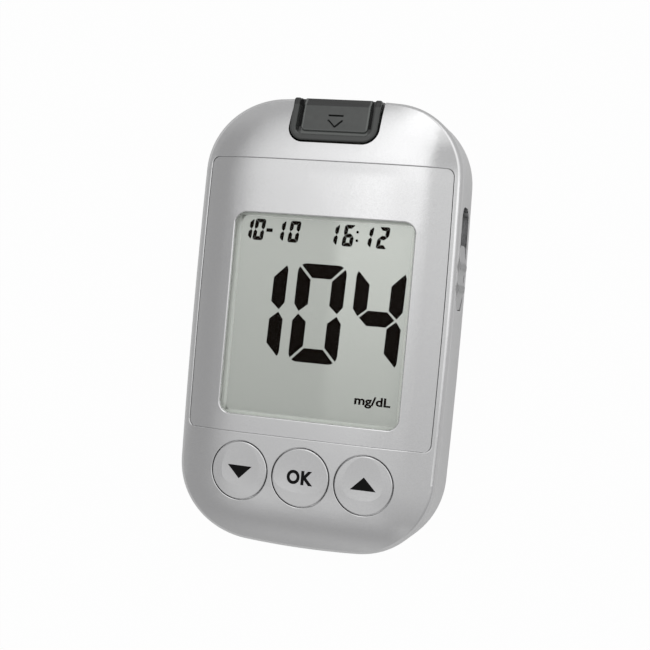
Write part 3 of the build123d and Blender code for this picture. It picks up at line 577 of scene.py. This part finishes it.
def on_window(x, y):
    """A point some millimetres to the right of and above the window's middle."""
    middle = node_middle("window_lens")
    return middle.x + x * MM, middle.y + y * MM


# ---------------------------------------------------------------- operators


# The studio's soft panels: the level that each adds, and its soft edges across and along the meter.
# An edge is the angle from straight up where the panel starts and the one where it's full, in degrees.
ROOM = {
    "walls": (0.39, (), ()),
    "left wall": (0.16, ((-54, -64),), ()),
    "ceiling": (0.21, ((-43, -25),), ((-60, -5),)),
    "front softbox": (0.16, ((-42, -24), (6, -8)), ((-58, -30), (-8, -30))),
    "left softbox": (0.35, ((-43, -20), (12, 4)), ((-10, 8),)),
    "right softbox": (0.22, ((7, 14),), ((-10, 8), (25, 20))),
    "lamp": (0.1, ((-16, -15), (13, 4)), ((-12, 10),)),
    "lamp edge": (0.3, ((-15.8, -15.1), (-3, -12)), ((-11, 9), (15, 8))),
    "lamp core": (0.24, ((-16, 2), (13, 4)), ((-3, 10),)),
    "rear lamp": (0.29, ((-23, -14), (7, -14)), ((16, 28),)),
    "rear wall": (0.12, (), ((40, 66),)),
    "rear window": (0.28, ((2, 8), (30, 18)), ((36, 46),)),
    "side window": (0.5, ((31, 34), (72, 62)), ((-19, 10),)),
    "front window": (0.12, ((0, 10), (40, 28)), ((-36, -46), (-68, -58))),
    "front glow": (0.21, ((-72, -15),), ((-50, -76),)),
}


class MeterStage(bpy.types.Operator):
    """Make the camera, the floor and the studio light"""

    bl_idname = "meter.stage"
    bl_label = "Stage"

    def execute(self, context):
        settings = context.scene.meter_stage
        self.make_camera(context.scene, settings)
        self.make_floor(context.scene, settings)
        self.make_room(context.scene, settings)
        context.scene.view_settings.view_transform = "Standard"
        return {"FINISHED"}

    def make_camera(self, scene, settings):
        """The meter lies still, so the camera turns the other way by the same angles."""
        turn_x, turn_y, turn_z = settings.camera_tilt
        turn = Matrix.Rotation(turn_z, 3, "Z") @ Matrix.Rotation(turn_x, 3, "X")
        turn = turn @ Matrix.Rotation(turn_y, 3, "Y")
        camera = bpy.data.objects.new("studio_camera", bpy.data.cameras.new("studio_camera"))
        camera.data.lens = settings.lens
        camera.data.sensor_width = 36
        camera.data.clip_start = 0.01
        camera.data.clip_end = 20
        camera.matrix_world = Matrix.Translation(settings.camera_place) @ turn.transposed().to_4x4()
        scene.collection.objects.link(camera)
        scene.camera = camera

    def make_floor(self, scene, settings):
        """A pale floor that keeps a soft shadow and stays white behind the meter."""
        half = settings.floor_size / 2
        below_back = 0.02 * MM
        mesh = bpy.data.meshes.new("studio_floor")
        corners = [(-half, -half, 0), (half, -half, 0), (half, half, 0), (-half, half, 0)]
        mesh.from_pydata(corners, [], [(0, 1, 2, 3)])
        floor = bpy.data.objects.new("studio_floor", mesh)
        floor.location.z = -below_back
        scene.collection.objects.link(floor)
        material = bpy.data.materials.new("studio_floor")
        material.use_nodes = True
        tree = material.node_tree
        tree.nodes.clear()
        output = tree.nodes.new("ShaderNodeOutputMaterial")
        diffuse = tree.nodes.new("ShaderNodeBsdfDiffuse")
        diffuse.inputs["Color"].default_value = (*settings.floor_colour, 1)
        glow = tree.nodes.new("ShaderNodeEmission")
        glow.inputs["Color"].default_value = WHITE
        mix = tree.nodes.new("ShaderNodeMixShader")
        tree.links.new(self.white_share(tree), mix.inputs["Fac"])
        tree.links.new(diffuse.outputs[0], mix.inputs[1])
        tree.links.new(glow.outputs[0], mix.inputs[2])
        tree.links.new(mix.outputs[0], output.inputs["Surface"])
        mesh.materials.append(material)

    def white_share(self, tree):
        """How much of the floor is plain white to a ray, by where the ray comes from."""
        path = tree.nodes.new("ShaderNodeLightPath")
        shares = {"Is Camera Ray": 0.975, "Is Transmission Ray": 0.975, "Is Glossy Ray": 0.2}
        total = 0.0
        for name, share in shares.items():
            scaled = calculate(tree, "MULTIPLY", share, path.outputs[name])
            total = calculate(tree, "MAXIMUM", total, scaled)
        return total

    def make_room(self, scene, settings):
        """The studio's light by direction: the sum of its soft panels."""
        world = bpy.data.worlds.new("studio_room")
        world.use_nodes = True
        tree = world.node_tree
        tree.nodes.clear()
        split = tree.nodes.new("ShaderNodeSeparateXYZ")
        tree.links.new(tree.nodes.new("ShaderNodeTexCoord").outputs["Generated"], split.inputs[0])
        across = self.tilt(tree, split, "X")
        along = self.tilt(tree, split, "Y")
        total = 0.0
        for level, across_edges, along_edges in ROOM.values():
            panel = level * settings.room_light
            for edge in across_edges:
                panel = calculate(tree, "MULTIPLY", panel, soft_edge(tree, across, edge))
            for edge in along_edges:
                panel = calculate(tree, "MULTIPLY", panel, soft_edge(tree, along, edge))
            total = calculate(tree, "ADD", total, panel)
        background = tree.nodes.new("ShaderNodeBackground")
        background.inputs["Color"].default_value = WHITE
        tree.links.new(self.white_backdrop(tree, total), background.inputs["Strength"])
        output = tree.nodes.new("ShaderNodeOutputWorld")
        tree.links.new(background.outputs[0], output.inputs["Surface"])
        scene.world = world

    def white_backdrop(self, tree, light):
        """The room lights the meter, and behind it the eye sees plain white."""
        level = 0.98
        path = tree.nodes.new("ShaderNodeLightPath")
        through = path.outputs["Is Transmission Ray"]
        seen = calculate(tree, "MAXIMUM", path.outputs["Is Camera Ray"], through)
        unseen = calculate(tree, "SUBTRACT", 1.0, seen)
        room = calculate(tree, "MULTIPLY", light, unseen)
        return calculate(tree, "ADD", room, calculate(tree, "MULTIPLY", level, seen))

    def tilt(self, tree, split, axis):
        """How far a direction leans along an axis, in degrees from straight up."""
        radians = calculate(tree, "ARCTAN2", split.outputs[axis], split.outputs["Z"])
        return calculate(tree, "DEGREES", radians)


class MeterCase(bpy.types.Operator):
    """Finish the two housings, the display's panel and the battery door"""

    bl_idname = "meter.case"
    bl_label = "Case"

    def execute(self, context):
        paint = context.scene.meter_paint
        shell = silver_lacquer("shell_silver", paint.silver, paint.silver_roughness).material
        dress("front_housing", shell)
        dress("battery_door", shell)
        dress("face_panel", silver_lacquer("panel_silver", paint.silver, paint.silver_roughness).material)
        dress("rear_housing", self.rear_lacquer(paint))
        return {"FINISHED"}

    def rear_lacquer(self, paint):
        """The same lacquer, painted a little darker inside the slider's slot as painted shade in the
        recess.
        """
        recipe = silver_lacquer("rear_silver", paint.silver, paint.silver_roughness)
        low, high = [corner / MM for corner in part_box("ejector_slider")]
        behind = low.x - 4.25
        skin = high.x - 1.0
        slot_end = high.y + joint_travel("ejector_slide") / MM + 0.7
        soft = 0.1
        share = recipe.band(recipe.coordinate("X"), (behind, behind + soft), (skin, skin - 0.25))
        for axis, start, end in (("Y", low.y - 1, slot_end), ("Z", low.z - 1, high.z + 1)):
            inside = recipe.band(recipe.coordinate(axis), (start, start + soft), (end, end - soft))
            share = calculate(recipe.tree, "MULTIPLY", share, inside)
        lacquer = recipe.shader.inputs["Base Color"].links[0].from_socket
        # Painted shade inside the slider's slot.
        slot_shade_colour = [channel * 0.9 for channel in paint.silver]
        recipe.join(recipe.tint(share, lacquer, slot_shade_colour), recipe.shader.inputs["Base Color"])
        return recipe.material


class MeterDisplay(bpy.types.Operator):
    """Finish the window and the glass, and light the figures"""

    bl_idname = "meter.display"
    bl_label = "Display"

    def execute(self, context):
        settings = context.scene.meter_display
        reflector = self.reflector(settings)
        dress("window_lens", self.clear_window())
        dress("lcd_glass", reflector)
        gasket = moulding("gasket_grey", (0.42, 0.43, 0.4), 0.8, grain=0.6 * MM, relief=0.03 * MM)
        dress("lcd_gasket", gasket)
        dress("lcd_frame", moulding("frame_white", (0.75, 0.75, 0.72), 0.5))
        for end in ("top", "bottom"):
            dress(f"zebra_strip_{end}", self.zebra())
        face = self.make_front(settings, reflector)
        self.make_figures(settings, face)
        return {"FINISHED"}

    def clear_window(self):
        """Clear cover: it reflects as glass does and lets all other light through."""
        straight_on = 0.003
        at_edge = 0.9
        recipe = Recipe("window_clear")
        recipe.tree.nodes.remove(recipe.shader)
        clear = recipe.node("ShaderNodeBsdfTransparent", Color=(0.97, 0.98, 0.97, 1))
        gloss = recipe.node("ShaderNodeBsdfGlossy", Roughness=0.02)
        slant = recipe.node("ShaderNodeLayerWeight", Blend=0.5).outputs["Facing"]
        grazing = calculate(recipe.tree, "POWER", slant, 5.0)
        rise = calculate(recipe.tree, "MULTIPLY", at_edge, grazing)
        mix = recipe.tree.nodes.new("ShaderNodeMixShader")
        recipe.join(calculate(recipe.tree, "ADD", straight_on, rise), mix.inputs["Fac"])
        recipe.join(clear.outputs[0], mix.inputs[1])
        recipe.join(gloss.outputs[0], mix.inputs[2])
        recipe.join(mix.outputs[0], recipe.tree.nodes["Material Output"].inputs["Surface"])
        return recipe.material

    def reflector(self, settings):
        """Grey-green display: a fine-grained reflector that shines a little inside a matt rim, which is
        painted paler as painted light against the shade at the window's edge.
        """
        shine = 0.6
        soft = 0.4
        recipe = Recipe("lcd_glass")
        tree = recipe.tree
        recipe.vary_colour(settings.background, share=0.02, size=0.2 * MM)
        recipe.vary_roughness(0.025, swing=0.008, size=0.3 * MM)
        middle = node_middle("window_lens")
        rim = 0.0
        sides = (("X", middle.x, settings.glass_width), ("Y", middle.y, settings.glass_length))
        for axis, centre, length in sides:
            start = (length / 2 - settings.rim_width) / MM
            off_centre = calculate(tree, "SUBTRACT", recipe.coordinate(axis), centre)
            outside = recipe.band(calculate(tree, "ABSOLUTE", off_centre), (start, start + soft))
            rim = calculate(tree, "MAXIMUM", rim, outside)
        grey_green = recipe.shader.inputs["Base Color"].links[0].from_socket
        # The rim's paler colour is painted light that offsets the shade at the window's edge.
        pale = [channel * 1.6 for channel in settings.background]
        recipe.join(recipe.tint(rim, grey_green, pale), recipe.shader.inputs["Base Color"])
        metallic = calculate(tree, "MULTIPLY", shine, calculate(tree, "SUBTRACT", 1.0, rim))
        recipe.join(metallic, recipe.shader.inputs["Metallic"])
        return recipe.material

    def zebra(self):
        """Rubber strip with fine conducting layers across it."""
        recipe = Recipe("zebra_rubber")
        wave = recipe.node("ShaderNodeTexWave", Scale=2500)
        wave.bands_direction = "X"
        recipe.join(recipe.place, wave.inputs["Vector"])
        colour = recipe.tint(wave.outputs["Fac"], (0.02, 0.02, 0.02), (0.12, 0.1, 0.09))
        recipe.join(colour, recipe.shader.inputs["Base Color"])
        recipe.set(Roughness=0.7)
        return recipe.material

    def make_front(self, settings, material):
        """The display's front glass, close under the window; gives the height of its face."""
        middle = node_middle("window_lens")
        radius = settings.glass_corner
        reach_x = settings.glass_width / 2 - radius
        reach_y = settings.glass_length / 2 - radius
        outline = []
        for quarter, (side_x, side_y) in enumerate(((1, 1), (-1, 1), (-1, -1), (1, -1))):
            centre = (middle.x + side_x * reach_x, middle.y + side_y * reach_y)
            outline += corner_arc(centre, radius, quarter * 90, quarter * 90 + 90, steps=6)
        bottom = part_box("lcd_glass")[1].z
        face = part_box("window_lens")[0].z - 0.03 * MM
        mesh = flat_mesh("display_front", [outline], bottom, face - bottom)
        finish_piece("display_front", mesh, material)
        return face

    def make_figures(self, settings, face):
        """The reading, the date, the time and the unit, as thin solids on the display's face."""
        ink = printed("segment_ink", settings.ink, 0.5)
        shapes = {
            "reading": self.reading(settings),
            "date": self.small_figures("date", settings) + [self.dash()],
            "time": self.small_figures("time", settings) + self.colon(),
        }
        for name, outlines in shapes.items():
            mesh = flat_mesh(name, outlines, face, settings.segment_thickness)
            finish_piece(name, mesh, ink)
        mesh = lettering("mg/dL", size=3 * MM, embolden=0.09 * MM)
        fit_to(mesh, on_window(9.22, -17.17), on_window(16.83, -14.73))
        raise_mesh(mesh, face, settings.segment_thickness)
        finish_piece("unit", mesh, ink)

    def reading(self, settings):
        """The large figures, side by side."""
        pitch = 12.6
        outlines = []
        for index, character in enumerate(settings.reading):
            outlines += figure(
                character,
                on_window(-18.4 + index * pitch, -9.12),
                width=10.5 * MM,
                height=settings.reading_height,
                stroke=2.95 * MM,
                slant=0.03,
                gap=0.26 * MM,
            )
        return outlines

    def small_figures(self, name, settings):
        """A row of small figures at the top of the display."""
        outlines = []
        for character, x in SMALL_FIGURES[name]:
            outlines += figure(
                character,
                on_window(x, 15.44),
                width=2.3 * MM,
                height=settings.small_height,
                stroke=0.8 * MM,
                slant=0.12,
                gap=0.02 * MM,
            )
        return outlines

    def dash(self):
        """The dash between the day and the month."""
        left, right = -12.9, -11.55
        bottom, top = 17.3, 18.05
        corners = ((left, bottom), (right, bottom), (right, top), (left, top))
        return [on_window(x, y) for x, y in corners]

    def colon(self):
        """The two dots between the hours and the minutes."""
        radius = 0.3 * MM
        return [corner_arc(on_window(6.75, y), radius, 0, 315, steps=7) for y in (16.78, 18.52)]


class MeterKeys(bpy.types.Operator):
    """Finish the three keys and print their marks"""

    bl_idname = "meter.keys"
    bl_label = "Keys"

    def execute(self, context):
        paint = context.scene.meter_paint
        settings = context.scene.meter_keys
        silver = silver_lacquer("key_silver", paint.silver, paint.silver_roughness).material
        black = moulding("switch_black", (0.03, 0.03, 0.03), 0.45)
        metal = plated("switch_metal", (0.66, 0.66, 0.66), 0.3)
        for name in KEY_NAMES:
            dress(f"{name}_key", silver)
            dress(f"{name}_plunger", black)
            dress(f"{name}_switch", metal)
        ink = printed("key_mark", settings.mark, 0.4)
        for name in KEY_NAMES:
            middle = node_middle(f"{name}_key")
            mesh = self.letters(middle) if name == "ok" else self.triangle(middle, name == "up")
            print_on(nodes[f"{name}_key"], mesh, settings.mark_lift)
            finish_piece(f"{name}_mark", mesh, ink, f"{name}_key")
        return {"FINISHED"}

    def triangle(self, middle, points_up):
        """A triangle on the middle of its key, 5.4 mm wide and 2.7 mm high."""
        half_width = 2.68 * MM
        base = -1.0 * MM
        tip = 1.7 * MM
        way = 1 if points_up else -1
        mesh = bpy.data.meshes.new("triangle")
        corners = [(-half_width, way * base), (half_width, way * base), (0, way * tip)]
        mesh.from_pydata([(middle.x + x, middle.y + y, 0) for x, y in corners], [], [(0, 1, 2)])
        return mesh

    def letters(self, middle):
        """The letters O and K, each between its own left and right edge on the middle key."""
        edges = {"O": (-2.88 * MM, -0.12 * MM), "K": (0.15 * MM, 2.72 * MM)}
        bottom = middle.y - 1.43 * MM
        top = middle.y + 1.5 * MM
        joined = bmesh.new()
        for letter, (left, right) in edges.items():
            mesh = lettering(letter, size=4 * MM, embolden=0.18 * MM)
            fit_to(mesh, (middle.x + left, bottom), (middle.x + right, top))
            joined.from_mesh(mesh)
            bpy.data.meshes.remove(mesh)
        return write_mesh(joined, bpy.data.meshes.new("letters"))


class MeterPort(bpy.types.Operator):
    """Finish the strip port and the socket behind it"""

    bl_idname = "meter.port"
    bl_label = "Strip port"

    def execute(self, context):
        paint = context.scene.meter_paint
        dress("strip_port", self.port_gloss(paint.port))
        self.print_icon(context.scene.meter_keys)
        dress("strip_connector", moulding("connector_ivory", (0.72, 0.69, 0.58), 0.5))
        dress("strip_contacts", plated("contact_gold", (0.83, 0.62, 0.25), 0.25))
        return {"FINISHED"}

    def port_gloss(self, colour):
        """Dark moulding with a polished skin: darker on its rim, with painted shade on its end lip and in
        its groove, and painted highlights on the tray's edges and sill.
        """
        recipe = Recipe("port_dark")
        tree = recipe.tree
        port_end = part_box("strip_port")[1].y
        side = calculate(tree, "ABSOLUTE", recipe.coordinate("X"))
        inward = calculate(tree, "SUBTRACT", port_end, recipe.coordinate("Y"))
        tray = recipe.band(inward, (7.3, 7.0))
        # Painted shade where the tray's end slopes away, and painted shade in the groove.
        lip = recipe.band(inward, (1.7, 1.4))
        groove_shade = calculate(tree, "MULTIPLY", recipe.band(side, (7.05, 7.2), (8.02, 7.9)), tray)
        # Painted highlights along the tray's edge and on the sill's wall.
        edge_highlight = calculate(tree, "MULTIPLY", recipe.band(side, (6.6, 6.85), (7.15, 7.05)), tray)
        sill_highlight = recipe.band(inward, (7.75, 7.45), (6.6, 7.0))
        sill_highlight = calculate(tree, "MULTIPLY", sill_highlight, recipe.band(side, (7.3, 6.9)))
        rim = calculate(tree, "MAXIMUM", recipe.band(side, (7.9, 8.1)), recipe.band(inward, (7.75, 7.9)))

        def shade(share):
            return [channel * share for channel in colour]

        paint = recipe.tint(recipe.spread(recipe.noise(2 * MM), 0, 1), shade(0.92), shade(1.08))
        paint = recipe.tint(rim, paint, shade(0.7))
        # Painted shade on the lip and in the groove, then painted highlights on the tray's edge and sill.
        paint = recipe.tint(lip, paint, shade(0.2))
        paint = recipe.tint(groove_shade, paint, shade(0.1))
        paint = recipe.tint(calculate(tree, "MAXIMUM", edge_highlight, sill_highlight), paint, shade(2.2))
        recipe.join(paint, recipe.shader.inputs["Base Color"])
        recipe.vary_roughness(0.16, swing=0.04, size=1.2 * MM)
        recipe.bump(height=0.003 * MM, size=0.8 * MM)
        recipe.set(Specular_IOR_Level=0.6)
        return recipe.material

    def print_icon(self, settings):
        """Ink on the floor of the engraved mark: a bar, and a chevron that points into the slot."""
        port_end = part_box("strip_port")[1].y
        half_stroke = 0.13 * MM
        bar_x = 1.55 * MM
        bar_y = port_end - 3.6 * MM
        chevron_x = 1.4 * MM
        chevron_y = port_end - 4.7 * MM
        tip = Vector((0, chevron_y - 1.35 * MM))
        low = bar_y - half_stroke
        high = bar_y + half_stroke
        strokes = [[(-bar_x, low), (bar_x, low), (bar_x, high), (-bar_x, high)]]
        for side in (-1, 1):
            start = Vector((side * chevron_x, chevron_y))
            along = (tip - start).normalized()
            across = Vector((-along.y, along.x)) * half_stroke
            strokes.append([start + across, start - across, tip - across, tip + across])
        points = [(x, y, 0) for stroke in strokes for x, y in stroke]
        faces = [tuple(range(first, first + 4)) for first in range(0, len(points), 4)]
        mesh = bpy.data.meshes.new("port_icon")
        mesh.from_pydata(points, [], faces)
        print_on(nodes["strip_port"], mesh, settings.mark_lift)
        finish_piece("port_icon", mesh, printed("icon_ink", settings.mark, 0.4))


class MeterEjector(bpy.types.Operator):
    """Finish the side slider, its carriage and its spring"""

    bl_idname = "meter.ejector"
    bl_label = "Strip ejector"

    def execute(self, context):
        paint = context.scene.meter_paint
        dress("ejector_slider", self.shaded_ridge_grip(paint.slider))
        dress("ejector_carriage", moulding("carriage_black", (0.035, 0.035, 0.035), 0.45))
        self.wind_spring()
        return {"FINISHED"}

    def shaded_ridge_grip(self, colour):
        """Light satin moulding whose two ridges are painted darker as painted shade."""
        recipe = Recipe("slider_grey")
        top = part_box("ejector_slider")[1].x / MM
        # Painted shade on the two ridge lands.
        ridges = recipe.band(recipe.coordinate("X"), (top - 0.3, top - 0.06))
        ridge_shade_colour = [channel * 0.7 for channel in colour]
        recipe.join(recipe.tint(ridges, colour, ridge_shade_colour), recipe.shader.inputs["Base Color"])
        recipe.vary_roughness(0.36, swing=0.04, size=0.6 * MM)
        recipe.bump(height=0.003 * MM, size=0.3 * MM)
        recipe.set(Metallic=0.25)
        return recipe.material

    def wind_spring(self):
        """The return spring, as a round-wire coil in the room of the CAD spring, which it hides."""
        steel = plated("spring_steel", (0.62, 0.62, 0.62), 0.25)
        mesh = coil("ejector_coil", "ejector_spring", wire=0.22 * MM, turns=7)
        spring = finish_piece("ejector_coil", mesh, steel)
        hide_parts("ejector_spring")
        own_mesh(spring)


class MeterElectronics(bpy.types.Operator):
    """Finish the main board and what is soldered to it"""

    bl_idname = "meter.electronics"
    bl_label = "Electronics"

    def execute(self, context):
        black = (0.022, 0.022, 0.024)
        dress("main_board", self.solder_resist())
        for name in ("mcu_chip", "memory_chip", "buzzer"):
            dress(name, moulding(f"{name}_epoxy", black, 0.55, grain=0.15 * MM, relief=0.006 * MM))
        dress("crystal", plated("crystal_can", (0.7, 0.7, 0.7), 0.28))
        return {"FINISHED"}

    def solder_resist(self):
        """Green resist over copper tracks that show as paler lines."""
        recipe = Recipe("board_green")
        tracks = recipe.node("ShaderNodeTexBrick", Scale=220)
        tracks.inputs["Mortar Size"].default_value = 0.03
        recipe.join(recipe.place, tracks.inputs["Vector"])
        colour = recipe.tint(tracks.outputs["Fac"], (0.02, 0.16, 0.06), (0.03, 0.24, 0.09))
        recipe.join(colour, recipe.shader.inputs["Base Color"])
        recipe.vary_roughness(0.35, swing=0.06, size=0.8 * MM)
        recipe.bump(height=0.01 * MM, size=0.6 * MM)
        return recipe.material


class MeterBatteries(bpy.types.Operator):
    """Finish the cells, their contacts and their springs"""

    bl_idname = "meter.batteries"
    bl_label = "Batteries"

    def execute(self, context):
        grey = (0.3, 0.31, 0.33)
        jacket = moulding("cell_jacket", grey, 0.3, grain=0.4 * MM, relief=0.003 * MM, metallic=0.5)
        plate = plated("battery_plate", (0.68, 0.67, 0.64), 0.3)
        steel = plated("battery_wire", (0.66, 0.66, 0.65), 0.25)
        for side, taper in (("left", 0.75), ("right", 1.0)):
            dress(f"battery_cell_{side}", jacket)
            node = f"battery_spring_{side}"
            name = f"battery_coil_{side}"
            mesh = coil(name, node, wire=0.25 * MM, turns=4, taper=taper)
            spring = finish_piece(name, mesh, steel)
            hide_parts(node)
        for name in ("positive", "negative", "bridge"):
            dress(f"battery_contact_{name}", plate)
        return {"FINISHED"}


class MeterFasteners(bpy.types.Operator):
    """Finish the case screws"""

    bl_idname = "meter.fasteners"
    bl_label = "Case screws"

    def execute(self, context):
        dress("case_screws", plated("screw_steel", (0.45, 0.45, 0.46), 0.35))
        return {"FINISHED"}


OPERATORS = (
    MeterStage,
    MeterCase,
    MeterDisplay,
    MeterKeys,
    MeterPort,
    MeterEjector,
    MeterElectronics,
    MeterBatteries,
    MeterFasteners,
)
SETTINGS = {
    "meter_stage": MeterStageSettings,
    "meter_paint": MeterPaintSettings,
    "meter_display": MeterDisplaySettings,
    "meter_keys": MeterKeySettings,
}


class MeterPanel(bpy.types.Panel):
    """Lists the steps that finish the meter"""

    bl_idname = "VIEW3D_PT_meter"
    bl_label = "Blood Glucose Meter"
    bl_space_type = "VIEW_3D"
    bl_region_type = "UI"
    bl_category = "Meter"

    def draw(self, context):
        for operator in OPERATORS:
            self.layout.operator(operator.bl_idname)
        for name, group in SETTINGS.items():
            box = self.layout.box()
            box.label(text=group.__doc__)
            for field in group.__annotations__:
                box.prop(getattr(context.scene, name), field)


def register():
    for name, group in SETTINGS.items():
        bpy.utils.register_class(group)
        setattr(bpy.types.Scene, name, bpy.props.PointerProperty(type=group))
    for operator in OPERATORS:
        bpy.utils.register_class(operator)
    bpy.utils.register_class(MeterPanel)


def unregister():
    bpy.utils.unregister_class(MeterPanel)
    for operator in reversed(OPERATORS):
        bpy.utils.unregister_class(operator)
    for name, group in SETTINGS.items():
        delattr(bpy.types.Scene, name)
        bpy.utils.unregister_class(group)


def main():
    register()
    for operator in OPERATORS:
        space, name = operator.bl_idname.split(".")
        getattr(getattr(bpy.ops, space), name)()


if __name__ == "__main__":
    main()
